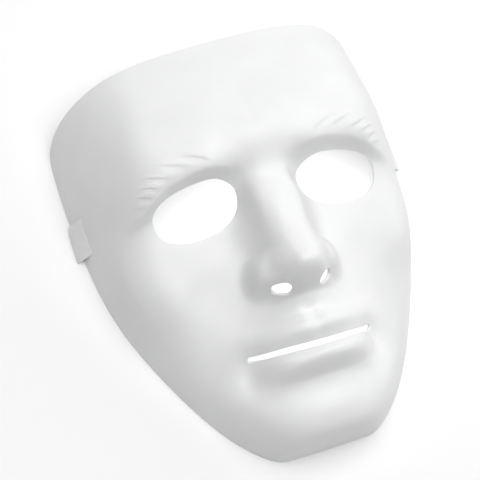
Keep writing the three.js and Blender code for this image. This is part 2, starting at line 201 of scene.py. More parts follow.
@dataclass(frozen=True)
class Brow:
    """The ridge over the eyes, steeper below its line than above."""

    y: float = 44.1
    arch: float = 3.8
    arch_at: float = 33.5
    arch_width: float = 18.9
    droop: float = 6.7
    droop_span: Span = (48.0, 72.0)
    start_span: Span = (8.1, 31.3)
    end_span: Span = (57.2, 79.4)
    height: float = 7.1
    above: float = 12.2
    below: float = 3.3

    def line(self, side: Array) -> Array:
        """The crest of the ridge, as y over the distance from the middle line."""
        arch = self.arch * np.exp(-(((side - self.arch_at) / self.arch_width) ** 2))
        return self.y + arch - self.droop * ease(*self.droop_span, side)

    def relief(self, side: Array, y: Array) -> Array:
        """Height of the ridge over the face."""
        over = y - self.line(side)
        reach = ease(*self.start_span, side) * (1.0 - ease(*self.end_span, side))
        width = np.where(over > 0.0, self.above, self.below)
        return self.height * reach * np.exp(-((over / width) ** 2))


@dataclass(frozen=True)
class Mouth:
    """A narrow slot between two lips, hanging a little lower at the middle line."""

    y: float = -46.0
    sag: float = 4.0
    half_long: float = 34.5
    slot_y: float = -45.7
    slot_sag: float = 5.2
    slot_slope: float = -0.024
    slot_half_long: float = 34.2
    slot_half_high: float = 1.15
    upper_height: float = 3.9
    upper_rise: Span = (-0.5, 7.0)
    upper_fade: Span = (8.2, 16.7)
    upper_reach: Span = (33.9, 5.7)
    lower_height: float = 6.2
    lower_rise: Span = (0.6, 7.4)
    lower_fade: Span = (8.4, 16.4)
    lower_reach: Span = (30.2, 5.6)
    hollow_depth: float = 2.6
    hollow_at: float = -21.3
    hollow_width: float = 7.5
    hollow_reach: Span = (30.8, 4.1)

    def line(self, side: Array) -> Array:
        """The line between the lips, as y over the distance from the middle line."""
        return self.y - self.sag * (1.0 - np.minimum(side / self.half_long, 1.0) ** 2)

    def relief(self, side: Array, y: Array) -> Array:
        """Both lips and the hollow below them, as steps up from the slot."""
        over = y - self.line(side)
        within = [np.exp(-((side / wide) ** power))
                  for wide, power in (self.upper_reach, self.lower_reach, self.hollow_reach)]
        upper = self.upper_height * (ease(*self.upper_rise, over) - ease(*self.upper_fade, over))
        lower = self.lower_height * (ease(*self.lower_rise, -over) - ease(*self.lower_fade, -over))
        hollow = self.hollow_depth * np.exp(-(((over - self.hollow_at) / self.hollow_width) ** 2))
        return upper * within[0] + lower * within[1] - hollow * within[2]

    def outside(self, x: Array, y: Array) -> Array:
        """Distance in plan from the slot's outline, negative within it."""
        past = np.maximum(np.abs(x) - (self.slot_half_long - self.slot_half_high), 0.0)
        sag = self.slot_sag * (1.0 - (x / self.slot_half_long) ** 2)
        return np.hypot(past, y - self.slot_y + sag - self.slot_slope * x) - self.slot_half_high


@dataclass(frozen=True)
class Oval:
    """A rounded opening on one half of the face: centre in plan, half sizes, tilt and edge power."""

    name: str
    side: Side
    x: float
    y: float
    half_long: float
    above: float
    below: float
    tilt: float
    power: float

    def outside(self, x: Array, y: Array) -> Array:
        """A value that is 0 on the oval's outline, negative within it and rises outwards."""
        turn = math.radians(self.tilt)
        dx, dy = x * self.side.value - self.x, y - self.y
        along = dx * math.cos(turn) + dy * math.sin(turn)
        across = -dx * math.sin(turn) + dy * math.cos(turn)
        high = np.where(across > 0.0, self.above, self.below)
        share = np.abs(along / self.half_long) ** self.power + np.abs(across / high) ** self.power
        return self.below * (np.maximum(share, TINY) ** (1.0 / self.power) - 1.0)


@dataclass(frozen=True)
class Rim:
    """The rim's edge: on the floor as far as the temples, then up to the top of the forehead."""

    lift_from: float = 89.5
    lift_to: float = 122.0
    height: float = 85.0
    power: float = 3.3

    def over(self, points: Array) -> Array:
        """Distance of each point above the surface that trims the rim."""
        span = self.lift_to - self.lift_from
        share = np.maximum((points[:, 1] - self.lift_from) / span, 0.0)
        slope = self.height * self.power / span * share ** (self.power - 1.0)
        return (points[:, 2] - self.height * share**self.power) / np.sqrt(1.0 + slope**2)


@dataclass
class Face:
    """The outer surface of the mask, over u across (-1 to 1) and v along it (0 at the chin, 1 at the top)."""

    stations: tuple[Station, ...] = (
        Station(-95.7, -4, 26), Station(-93, 31.5, 33), Station(-78, 41.5, 49.5), Station(-49.5, 50.5, 67.5),
        Station(-1, 57, 87.5), Station(45.5, 73.5, 93), Station(75, 75.5, 93.5), Station(112.5, 61.5, 92),
    )
    front_power: float = 2.8
    side_power: float = 1.8
    section_foot: float = -22.0
    section_share: float = 0.86
    skirt_drop: float = 10.0
    side_fade: Span = (0.86, 0.98)
    chin_fade: Span = (0.02, 0.16)
    nose: Nose = Nose()
    brow: Brow = Brow()
    mouth: Mouth = Mouth()
    rim: Rim = Rim()
    swells: tuple[Swell, ...] = (
        Swell("eye socket", 43.8, 17.7, 23.8, 24.3, -4.8, 3.3, -11.8),
        Swell("inner corner of the socket", 20.2, 34.1, 6.8, 8.1, 32.3, 2.5, -6.9),
        Swell("outer corner of the socket", 55.3, 36.9, 8, 7.3, 19.8, 2.3, -0.8),
        Swell("hood over the eye", 34.9, 45.8, 16.9, 3, 0, 2.3, 0.6),
        Swell("inner end of the brow", 12.9, 41.8, 6, 4.4, 0.6, 2, -1.1),
        Swell("under the eye", 38.4, 1.9, 14, 4.4, -4.7, 2, 0.5),
        Swell("cheekbone", 69.3, 4, 27.3, 16.2, -10.1, 2.6, 9.6),
        Swell("hollow of the cheek", 41.8, -36.6, 13.3, 25.2, -4.5, 2.3, -9.1),
        Swell("side of the nose", 11.2, 21.9, 2.5, 14.5, -2.6, 2, 1.6),
        Swell("tip of the nose", 0, -12.1, 8.2, 7.6, 0, 2.2, 0.8),
        Swell("crease of the wing", 24.8, -7.5, 4.3, 7.8, 0, 2, -0.6),
        Swell("fold beside the nose", 22.6, -23.5, 11.3, 11.2, 19, 2.3, -4.4),
        Swell("muzzle", 0, -36.8, 14.4, 17.8, 0, 2.4, 7.1),
        Swell("ridge beside the lip groove", 4.9, -37.8, 1.7, 5.2, 0, 2, 0.2),
        Swell("lip groove", 0, -37.6, 2.9, 5.6, 0, 2, -1.7),
        Swell("corner of the mouth", 33, -52.8, 5.1, 6.4, 4.1, 1.9, -5.4),
        Swell("edge of the lower lip", 14.1, -55.9, 11.8, 2.1, -10.3, 2, -0.8),
        Swell("hollow under the lip", 13.3, -66.4, 11.2, 2.4, -4.2, 2, -0.8),
        Swell("ball of the chin", 0, -77.8, 9.5, 6.6, 0, 2.8, 1.5),
        Swell("jaw", 39.6, -73.3, 18.2, 5.2, 52.2, 2.1, 2.8),
        Swell("side of the jaw", 48.2, -62.5, 9, 11.4, 22.6, 2.3, -1.4),
        Swell("between the brows", 0, 55.8, 10.7, 9.1, 0, 2.1, 3.8),
        Swell("forehead", 29.7, 70.5, 22.7, 12.6, -2.3, 2.3, 2.5),
        Swell("temple", 64.9, 64.4, 12.2, 32.3, 7.5, 1.8, 9.8),
    )
    ovals: tuple[Oval, ...] = (
        Oval("left eye", Side.LEFT, 38.4, 34.6, 21.9, 9.1, 15.5, -2.6, 2.3),
        Oval("right eye", Side.RIGHT, 40.1, 31.9, 22.7, 10.3, 14.7, -5.2, 2.2),
        Oval("left nostril", Side.LEFT, 12, -20.7, 4.9, 1.4, 1.9, 33, 2.2),
        Oval("right nostril", Side.RIGHT, 12, -20.7, 4.9, 1.4, 1.9, 33, 2.2),
    )
    slope_step: float = 4e-4

    def __post_init__(self) -> None:
        """Runs the three splines of the middle line."""
        knots = [i / (len(self.stations) - 1) for i in range(len(self.stations))]
        self.spine_y, self.spine_crown, self.spine_half = (
            Spline(knots, [getattr(station, size) for station in self.stations])
            for size in ("y", "crown", "half"))

    def relief(self, x: Array, y: Array) -> Array:
        """Everything carved on the face, as a height over the plain shell."""
        side = np.abs(x)
        swells = sum(swell.height * swell.share(side, y) for swell in self.swells)
        return swells + self.brow.relief(side, y) + self.nose.relief(x, y) + self.mouth.relief(side, y)

    def points(self, u: Array, v: Array) -> Array:
        """Points of the outer surface."""
        share = np.abs(u)
        reach = np.sin(np.minimum(share / self.section_share, 1.0) * math.pi / 2.0)
        crown = self.spine_crown.at(v)
        x = self.spine_half.at(v) * np.sign(u) * reach
        y = self.spine_y.at(v)
        fall = 1.0 - np.maximum(1.0 - reach**self.front_power, 0.0) ** (1.0 / self.side_power)
        skirt = self.skirt_drop * np.maximum(share - self.section_share, 0.0) / (1.0 - self.section_share)
        front = (1.0 - ease(*self.side_fade, reach)) * ease(*self.chin_fade, v)
        z = crown - (crown - self.section_foot) * fall - skirt + front * self.relief(x, y)
        return np.stack([x, y, z], -1)

    def slopes(self, u: Array, v: Array) -> tuple[Array, Array]:
        """How fast the surface runs across and along, per unit of u and of v."""
        step = self.slope_step
        across = (self.points(u + step, v) - self.points(u - step, v)) / (2.0 * step)
        along = (self.points(u, v + step) - self.points(u, v - step)) / (2.0 * step)
        return across, along

    def normals(self, u: Array, v: Array) -> Array:
        """Outward normals of the surface."""
        normal = np.cross(*self.slopes(u, v))
        return normal / np.linalg.norm(normal, axis=-1, keepdims=True)

    def over_plan(self, x: Array, y: Array) -> tuple[Array, Array]:
        """The (u, v) whose surface point lies over each plan place."""
        low, high = halve(np.zeros_like(y), np.ones_like(y), lambda place: self.spine_y.at(place) > y)
        v = (low + high) / 2.0
        reach = np.clip(x / self.spine_half.at(v), -1.0, 1.0)
        return self.section_share * np.arcsin(reach) / (math.pi / 2.0), v

    def wall_place(self, y: float, z: float) -> tuple[Array, Array]:
        """The point of the right side wall at a given y and z, and the normal there.

        Args:
            y: Place along the face.
            z: Height over the floor.

        Returns:
            The point and the outward normal.
        """
        v = self.over_plan(np.zeros(1), np.array([y]))[1]
        u, _ = halve(np.array([0.5]), np.array([1.0]), lambda place: self.points(place, v)[:, 2] < z)
        return self.points(u, v)[0], self.normals(u, v)[0]


@dataclass
class CutSheet:
    """The face's outer surface as triangles, finer where it bends, and cut back to its edges."""

    face: Face
    grooves: "Grooves"
    columns: int = 104
    rows: int = 84
    v_from: float = -0.03
    v_to: float = 1.03
    middle_density: float = 0.75
    bend_limit: float = 0.045
    passes: int = 3
    longest_fine: float = 0.7
    edge_band: float = 2.4
    edge_length: float = 1.3
    set_back: float = 0.55
    rim_set_back: float = 0.7
    snap_share: float = 0.3
    on_edge: float = 2e-3
    u: Array = field(init=False)
    v: Array = field(init=False)
    triangles: Array = field(init=False)

    def build(self) -> None:
        """Lays the grid, refines it, and cuts it."""
        self._grid()
        for _ in range(self.passes):
            self._refine()
        self._cut()

    def _grid(self) -> None:
        """Lays the plain grid, each cell split along its shorter diagonal."""
        t = np.linspace(-1.0, 1.0, self.columns + 1)
        across = t * (self.middle_density + (1.0 - self.middle_density) * t * t)
        along = np.linspace(self.v_from, self.v_to, self.rows + 1)
        u, v = np.meshgrid(across, along)
        self.u, self.v = u.ravel(), v.ravel()
        index = np.arange(u.size).reshape(u.shape)
        a, b, c, d = (corner.ravel() for corner in
                      (index[:-1, :-1], index[:-1, 1:], index[1:, 1:], index[1:, :-1]))
        points = self.face.points(self.u, self.v)
        rising = np.linalg.norm(points[a] - points[c], axis=1) < np.linalg.norm(points[b] - points[d], axis=1)
        first = np.where(rising[:, None], np.stack([a, b, c], 1), np.stack([a, b, d], 1))
        second = np.where(rising[:, None], np.stack([a, c, d], 1), np.stack([b, c, d], 1))
        self.triangles = np.concatenate([first, second])

    def _edges(self) -> tuple[Array, Array]:
        """Each edge once, and the three edges of each triangle, in the order 01, 12, 20."""
        ends = self.triangles[:, [0, 1, 1, 2, 2, 0]].reshape(-1, 2)
        edges, place = np.unique(np.sort(ends, axis=1), axis=0, return_inverse=True)
        return edges, place.reshape(-1, 3)

    def _refine(self) -> None:
        """Splits the triangles that stand off the surface, or lie near an edge or a groove and are large."""
        edges, sides = self._edges()
        points = self.face.points(self.u, self.v)
        middle_u, middle_v = self.u[edges].mean(1), self.v[edges].mean(1)
        middle = self.face.points(middle_u, middle_v)
        chord = points[edges].mean(1)
        length = np.linalg.norm(points[edges[:, 0]] - points[edges[:, 1]], axis=1)
        near = np.abs(self.distance(middle_u, middle_v)) < self.edge_band + length / 2.0
        bent = np.linalg.norm(middle - chord, axis=1) > self.bend_limit
        grooved = self.grooves.near(self.face, middle)
        split = (bent & (length > self.longest_fine)) | (near & (length > self.edge_length))
        split |= grooved & (length > self.grooves.fine_length)
        while True:
            wanted = split[sides].sum(1)
            more = sides[wanted == 2].ravel()
            if split[more].all():
                break
            split[more] = True
        fresh = np.full(len(edges), -1)
        fresh[split] = len(self.u) + np.arange(split.sum())
        self.u = np.concatenate([self.u, middle_u[split]])
        self.v = np.concatenate([self.v, middle_v[split]])
        wanted = split[sides].sum(1)
        parts = [self.triangles[wanted == 0]]
        whole = wanted == 3
        a, b, c = self.triangles[whole].T
        ab, bc, ca = fresh[sides[whole]].T
        parts += [np.stack(corners, 1) for corners in ((a, ab, ca), (ab, b, bc), (ca, bc, c), (ab, bc, ca))]
        for turn in range(3):
            single = (wanted == 1) & split[sides[:, turn]]
            p, q, r = np.roll(self.triangles[single], -turn, axis=1).T
            pq = fresh[sides[single, turn]]
            parts += [np.stack([p, pq, r], 1), np.stack([pq, q, r], 1)]
        self.triangles = np.concatenate(parts)

    def _values(self, u: Array, v: Array) -> Array:
        """The raw value of each opening's outline at each place, one row an opening."""
        x, y, _ = self.face.points(u, v).T
        return np.stack([oval.outside(x, y) for oval in self.face.ovals] + [self.face.mouth.outside(x, y)])

    def _climb(self, measure: Callable, u: Array, v: Array) -> tuple[Array, ...]:
        """The steepest way up a measure that is laid over the surface.

        Args:
            measure: Gives the measure's value at places (u, v).
            u: Places across the surface.
            v: Places along it.

        Returns:
            How the surface runs per unit of u and of v, the way up in u and in v, and its slope squared.
        """
        step = self.face.slope_step
        across, along = self.face.slopes(u, v)
        per_u = (measure(u + step, v) - measure(u - step, v)) / (2.0 * step)
        per_v = (measure(u, v + step) - measure(u, v - step)) / (2.0 * step)
        ee, ff, gg = (across**2).sum(1), (across * along).sum(1), (along**2).sum(1)
        area = ee * gg - ff**2
        way_u, way_v = (gg * per_u - ff * per_v) / area, (ee * per_v - ff * per_u) / area
        return across, along, way_u, way_v, per_u * way_u + per_v * way_v

    def distance(self, u: Array, v: Array) -> Array:
        """Distance along the surface from the nearest edge of the cut sheet, positive on the plastic."""
        across, along, _, _, steep = self._climb(self._values, u, v)
        from_openings = (self._values(u, v) / np.sqrt(steep + LEVEL_GROUND)).min(0) - self.set_back
        normal = np.cross(across, along)
        normal /= np.linalg.norm(normal, axis=1, keepdims=True)
        middle = self.face.points(u, v) - normal * (WALL / 2.0)
        return np.minimum(from_openings, self.face.rim.over(middle) - self.rim_set_back)

    def outward(self, u: Array, v: Array) -> Array:
        """Directions within the surface, straight out of the plastic over its nearest edge."""
        across, along, way_u, way_v, _ = self._climb(self.distance, u, v)
        inward = across * way_u[:, None] + along * way_v[:, None]
        return -inward / np.linalg.norm(inward, axis=1, keepdims=True)

    def _cut(self) -> None:
        """Moves the vertices that lie close to an edge onto it, then cuts the triangles that cross it."""
        self._snap()
        level = self.distance(self.u, self.v)
        level[np.abs(level) < self.on_edge] = 0.0
        edges, sides = self._edges()
        crossed = (level[edges[:, 0]] * level[edges[:, 1]]) < 0.0
        fresh = np.full(len(edges), -1)
        fresh[crossed] = len(self.u) + np.arange(crossed.sum())
        new_u, new_v = self._crossings(edges[crossed], level)
        self.u, self.v = np.concatenate([self.u, new_u]), np.concatenate([self.v, new_v])
        signs = np.sign(level[self.triangles])
        keep = (signs >= 0).all(1) & (signs > 0).any(1)
        parts = [self.triangles[keep]]
        for turn in range(3):
            corners = np.roll(self.triangles, -turn, axis=1)
            p, q, r = corners.T
            sp, sq, sr = np.roll(signs, -turn, axis=1).T
            pq, qr, rp = fresh[np.roll(sides, -turn, axis=1)].T
            tip = (sp > 0) & (sq < 0) & (sr < 0)
            parts.append(np.stack([p, pq, rp], 1)[tip])
            wide = (sp < 0) & (sq > 0) & (sr > 0)
            parts += [np.stack([pq, q, r], 1)[wide], np.stack([pq, r, rp], 1)[wide]]
            left = (sp == 0) & (sq > 0) & (sr < 0)
            parts.append(np.stack([p, q, qr], 1)[left])
            right = (sp == 0) & (sq < 0) & (sr > 0)
            parts.append(np.stack([p, qr, r], 1)[right])
        self.triangles = np.concatenate(parts)
        used, place = np.unique(self.triangles, return_inverse=True)
        self.triangles = place.reshape(-1, 3)
        self.u, self.v = self.u[used], self.v[used]

    def _snap(self) -> None:
        """Moves near vertices onto the edge, down the slope of the distance from it."""
        edges, _ = self._edges()
        points = self.face.points(self.u, self.v)
        length = np.linalg.norm(points[edges[:, 0]] - points[edges[:, 1]], axis=1)
        shortest = np.full(len(self.u), np.inf)
        for end in (0, 1):
            np.minimum.at(shortest, edges[:, end], length)
        near = np.abs(self.distance(self.u, self.v)) < self.snap_share * shortest
        u, v = self.u[near], self.v[near]
        for _ in range(SNAP_ROUNDS):
            level = self.distance(u, v)
            _, _, way_u, way_v, steep = self._climb(self.distance, u, v)
            u = u - level * way_u / steep
            v = v - level * way_v / steep
        self.u[near], self.v[near] = u, v

    def _crossings(self, edges: Array, level: Array) -> tuple[Array, Array]:
        """Where each edge crosses the outline, by halving.

        Args:
            edges: The ends of the edges that cross.
            level: Distance from the outline at each vertex.

        Returns:
            The crossings' u and v.
        """
        first, second = edges.T
        inside = np.where(level[first] > 0.0, first, second)
        outside = np.where(level[first] > 0.0, second, first)
        low, high = np.zeros(len(edges)), np.ones(len(edges))
        for _ in range(CUT_HALVINGS):
            middle = (low + high) / 2.0
            u = self.u[inside] + middle * (self.u[outside] - self.u[inside])
            v = self.v[inside] + middle * (self.v[outside] - self.v[inside])
            kept = self.distance(u, v) > 0.0
            low, high = np.where(kept, middle, low), np.where(kept, high, middle)
        return u, v

    def border(self) -> Array:
        """The sheet's border edges, each with the plastic on its left."""
        ends = self.triangles[:, [0, 1, 1, 2, 2, 0]].reshape(-1, 2)
        _, first, count = np.unique(np.sort(ends, axis=1), axis=0, return_index=True, return_counts=True)
        return ends[first[count == 1]]


@dataclass
class StrapLoop:
    """A loop for the head strap on a side wall: a plate that stands off the wall, and its leg.

    The two ends are given along the wall, with the plate's front and rear edges as distances out from
    the wall and up it.
    """

    face: Face
    side: Side
    y: float = 48.9
    z: float = 7.0
    plate: float = 0.8
    leg: float = 0.8
    leg_slope: float = -0.25
    root: float = 0.8
    along: Span = (-10.15, 9.4)
    front: tuple[Span, ...] = ((-0.76, 4.95), (0.3, 7.29))
    rear: tuple[Span, ...] = ((3.15, -7.49), (2.88, -4.84))
    corner: float = 1.4
    sections: int = 15
    edge_round: float = 0.28
    round_steps: int = 2
    round_profile: float = 0.6
    sharp_angle: float = 30.0

    def section(self, share: float, pull: float) -> Array:
        """The loop's outline at one place along it, out from the wall and up it.

        Args:
            share: Place along the loop, from 0 to 1.
            pull: How far the rear edge is drawn back towards the front one.

        Returns:
            Its corners, with the plate's outer side first.
        """
        start = np.array(self.front[0]) * (1.0 - share) + np.array(self.front[1]) * share
        end = np.array(self.rear[0]) * (1.0 - share) + np.array(self.rear[1]) * share
        plate = (end - start) / np.linalg.norm(end - start)
        end = end - plate * pull
        leg = np.array([-1.0, -self.leg_slope]) / math.hypot(1.0, self.leg_slope)
        root = start[0] - self.root
        under = start + self.plate * np.array([plate[1], -plate[0]])
        over = end + self.leg * np.array([leg[1], -leg[0]])
        at_root = lambda point, way: point + way * (root - point[0]) / way[0]
        gap = over - under
        reach = (gap[0] * leg[1] - gap[1] * leg[0]) / (plate[0] * leg[1] - plate[1] * leg[0])
        return np.array([
            [root, start[1]], start, end, at_root(end, leg),
            at_root(over, leg), under + plate * reach, at_root(under, plate),
        ])

    def __post_init__(self) -> None:
        """Finds the loop's place on the wall, and its directions out from the wall and up it."""
        middle, normal = self.face.wall_place(self.y, self.z)
        outward = Vector((normal[0], 0.0, normal[2])).normalized()
        self.axes = Vector(middle), outward, outward.cross(Vector((0.0, 1.0, 0.0))).normalized()

    def point(self, out: float, along: float, up: float) -> tuple[float, float, float]:
        """A point of the loop in the face's own frame, from its place out from, along and up the wall."""
        middle, outward, rise = self.axes
        x, y, z = middle + outward * out + Vector((0.0, along, 0.0)) + rise * up
        return x * self.side.value, y, z

    def crease(self, points: int) -> Array:
        """The line where the plate leaves the wall, in the face's own frame."""
        first, last = self.along
        line = []
        for share in np.linspace(0.0, 1.0, points):
            out, up = np.array(self.front[0]) * (1.0 - share) + np.array(self.front[1]) * share
            line.append(self.point(out, first + (last - first) * share, up))
        return np.array(line)

    def mesh(self) -> bpy.types.Mesh:
        """The loop as a closed mesh with softened edges, in metres and in place."""
        first, last = self.along
        shares = (1.0 - np.cos(np.linspace(0.0, math.pi, self.sections))) / 2.0
        shell = bmesh.new()
        rings = []
        for share in shares:
            place = first + (last - first) * share
            inside = max(self.corner - min(place - first, last - place), 0.0)
            pull = self.corner - math.sqrt(self.corner**2 - inside**2)
            ring = []
            for out, up in self.section(float(share), pull):
                x, y, z = self.point(out, place, up)
                ring.append(shell.verts.new((x * MM, (y + FACE_SHIFT) * MM, z * MM)))
            rings.append(ring)
        size = len(rings[0])
        for ring, following in zip(rings, rings[1:]):
            for k in range(size):
                shell.faces.new((ring[k], ring[(k + 1) % size], following[(k + 1) % size], following[k]))
        shell.faces.new(rings[0])
        shell.faces.new(rings[-1])
        bmesh.ops.recalc_face_normals(shell, faces=shell.faces)
        sharp = [edge for edge in shell.edges if edge.calc_face_angle(0.0) > math.radians(self.sharp_angle)]
        bmesh.ops.bevel(shell, geom=sharp, offset=self.edge_round * MM, segments=self.round_steps,
                        profile=self.round_profile, affect="EDGES", clamp_overlap=True)
        bmesh.ops.triangulate(shell, faces=shell.faces)
        mesh = bpy.data.meshes.new(f"strap_loop_{self.side.name.lower()}")
        shell.to_mesh(mesh)
        shell.free()
        return mesh


class Expression:
    """A node's output that grows Math nodes when it is used in arithmetic, on either side of a sign."""

    def __init__(self, board: "NodeBoard", socket: bpy.types.NodeSocket | None) -> None:
        """Wraps one output socket."""
        self.board = board
        self.socket = socket

    @staticmethod
    def operator(operation: str, reflected: bool) -> Callable[..., "Expression"]:
        """The method for one sign.

        Args:
            operation: The Math node's operation.
            reflected: True where the expression stands on the sign's right.

        Returns:
            The method.
        """
        def method(self: "Expression", other: "Expression | float") -> "Expression":
            values = (other, self) if reflected else (self, other)
            return self.board.add("ShaderNodeMath", {"operation": operation}, dict(enumerate(values)))
        return method


for sign, operation in (("add", "ADD"), ("sub", "SUBTRACT"), ("mul", "MULTIPLY"), ("truediv", "DIVIDE"),
                        ("pow", "POWER")):
    setattr(Expression, f"__{sign}__", Expression.operator(operation, False))
    setattr(Expression, f"__r{sign}__", Expression.operator(operation, True))


class NodeBoard:
    """The node tree of one material, or of anything else with nodes."""

    def __init__(self, tree: bpy.types.NodeTree) -> None:
        """Starts with an empty tree."""
        self.tree = tree
        tree.nodes.clear()

    @classmethod
    def of(cls, owner: bpy.types.Material | bpy.types.World) -> "NodeBoard":
        """The empty board of a material or a world."""
        owner.use_nodes = True
        return cls(owner.node_tree)

    def add(self, kind: str, settings: dict, inputs: dict, output: int | str = 0) -> Expression:
        """Adds a node, sets it up and links it.

        Args:
            kind: The node's type.
            settings: The node's own settings; "stops" fills a colour ramp with (place, colour) pairs.
            inputs: Values or expressions, by the name or number of their socket.
            output: The name or number of the output that is wanted.

        Returns:
            The wanted output, which is empty where the node has no outputs.
        """
        node = self.tree.nodes.new(kind)
        for name, value in settings.items():
            if name == "stops":
                ramp = node.color_ramp
                while len(ramp.elements) < len(value):
                    ramp.elements.new(1.0)
                for element, (place, colour) in zip(ramp.elements, value):
                    element.position, element.color = place, colour
            else:
                setattr(node, name, value)
        for name, value in inputs.items():
            if isinstance(value, Expression):
                self.tree.links.new(value.socket, node.inputs[name])
            else:
                node.inputs[name].default_value = value
        return Expression(self, node.outputs[output] if len(node.outputs) else None)


@dataclass(frozen=True)
class WhitePlastic:
    """Satin white moulded plastic: a faint cloudiness, fine moulding grain and a soft sheen.

    The clouds, the grain and the waves are noise, each given by its size in metres, detail and roughness.
    """

    name: str = "white_plastic"
    base: Colour = (0.86, 0.862, 0.865, 1.0)
    cloud: Colour = (0.82, 0.822, 0.825, 1.0)
    cloud_span: Span = (0.3, 0.75)
    clouds: tuple[float, float, float] = (0.03, 3.0, 0.55)
    grain: tuple[float, float, float] = (0.0007, 2.0, 0.5)
    grain_height: float = 0.000035
    waves: tuple[float, float, float] = (0.022, 1.0, 0.4)
    wave_height: float = 0.00012
    roughness: float = 0.42
    roughness_swing: float = 0.08
    ior: float = 1.46

    def material(self) -> bpy.types.Material:
        """Builds the material on Object coordinates."""
        material = bpy.data.materials.new(self.name)
        board = NodeBoard.of(material)
        place = board.add("ShaderNodeTexCoord", {}, {}, "Object")
        clouds, grain, waves = (
            board.add("ShaderNodeTexNoise", {"noise_dimensions": "3D"},
                      {"Vector": place, "Scale": 1.0 / size, "Detail": detail, "Roughness": rough})
            for size, detail, rough in (self.clouds, self.grain, self.waves))
        stops = tuple(zip(self.cloud_span, (self.base, self.cloud)))
        colour = board.add("ShaderNodeValToRGB", {"stops": stops}, {"Fac": clouds})
        swing = self.roughness_swing
        roughness = self.roughness + (clouds - 0.5) * swing + (grain - 0.5) * swing
        height = (grain - 0.5) * self.grain_height + (waves - 0.5) * self.wave_height
        bump = board.add("ShaderNodeBump", {}, {"Height": height, "Strength": 1.0, "Distance": 1.0})
        shader = board.add("ShaderNodeBsdfPrincipled", {}, {
            "Base Color": colour, "Roughness": roughness, "Normal": bump, "IOR": self.ior,
        })
        board.add("ShaderNodeOutputMaterial", {}, {"Surface": shader})
        return material


@dataclass(frozen=True)
class PaleFloor:
    """A plain floor of pale paper, glowing faintly all over, with a painted pool of light under the mask."""

    name: str = "pale_floor"
    paper: Colour = (0.9, 0.9, 0.9, 1.0)
    glow: Colour = (0.03, 0.03, 0.03, 1.0)
    # painted light: the emission of a pool of glow under the mask, which makes the floor white through the
    # openings
    painted_pool_glow: Colour = (0.8, 0.8, 0.8, 1.0)
    painted_pool_middle: Span = (18.0, -4.0)
    painted_pool_half: Span = (72.0, 70.0)
    roughness: float = 0.9

    def material(self) -> bpy.types.Material:
        """Builds the floor's material."""
        material = bpy.data.materials.new(self.name)
        board = NodeBoard.of(material)
        place = board.add("ShaderNodeTexCoord", {}, {}, "Object")
        across, along = (board.add("ShaderNodeSeparateXYZ", {}, {"Vector": place}, axis) for axis in "XY")
        middle_x, middle_y = (value * MM for value in self.painted_pool_middle)
        half_x, half_y = (value * MM for value in self.painted_pool_half)
        # painted light: an elliptic pool of emission under the mask, strongest at its middle and fading
        # outwards
        apart = ((across - middle_x) / half_x) ** 2.0 + ((along - middle_y) / half_y) ** 2.0
        painted_pool_share = math.e ** (apart * apart * -1.0)
        glow = board.add("ShaderNodeMix", {"data_type": "RGBA"},
                         {"Factor": painted_pool_share, 6: self.glow, 7: self.painted_pool_glow}, 2)
        shader = board.add("ShaderNodeBsdfPrincipled", {}, {
            "Base Color": self.paper, "Roughness": self.roughness, "Specular IOR Level": 0.0,
            "Emission Color": glow, "Emission Strength": 1.0,
        })
        board.add("ShaderNodeOutputMaterial", {}, {"Surface": shader})
        return material


@dataclass(frozen=True)
class Strand:
    """A groove or a tuft of a brow, on both halves of the face.

    It is given by its start in plan, its slopes at both ends, its length and its share of the depth,
    which is below zero for a tuft.
    """

    x: float
    y: float
    slope: float
    end_slope: float
    long: float
    share: float = 1.0

    def plan(self, points: int) -> tuple[Array, Array]:
        """Places along the groove, on the right half."""
        turn = np.radians(np.linspace(self.slope, self.end_slope, points))
        step = self.long / (points - 1)
        x = self.x + step * (np.cumsum(np.cos(turn)) - math.cos(turn[0]))
        y = self.y + step * (np.cumsum(np.sin(turn)) - math.sin(turn[0]))
        return x, y


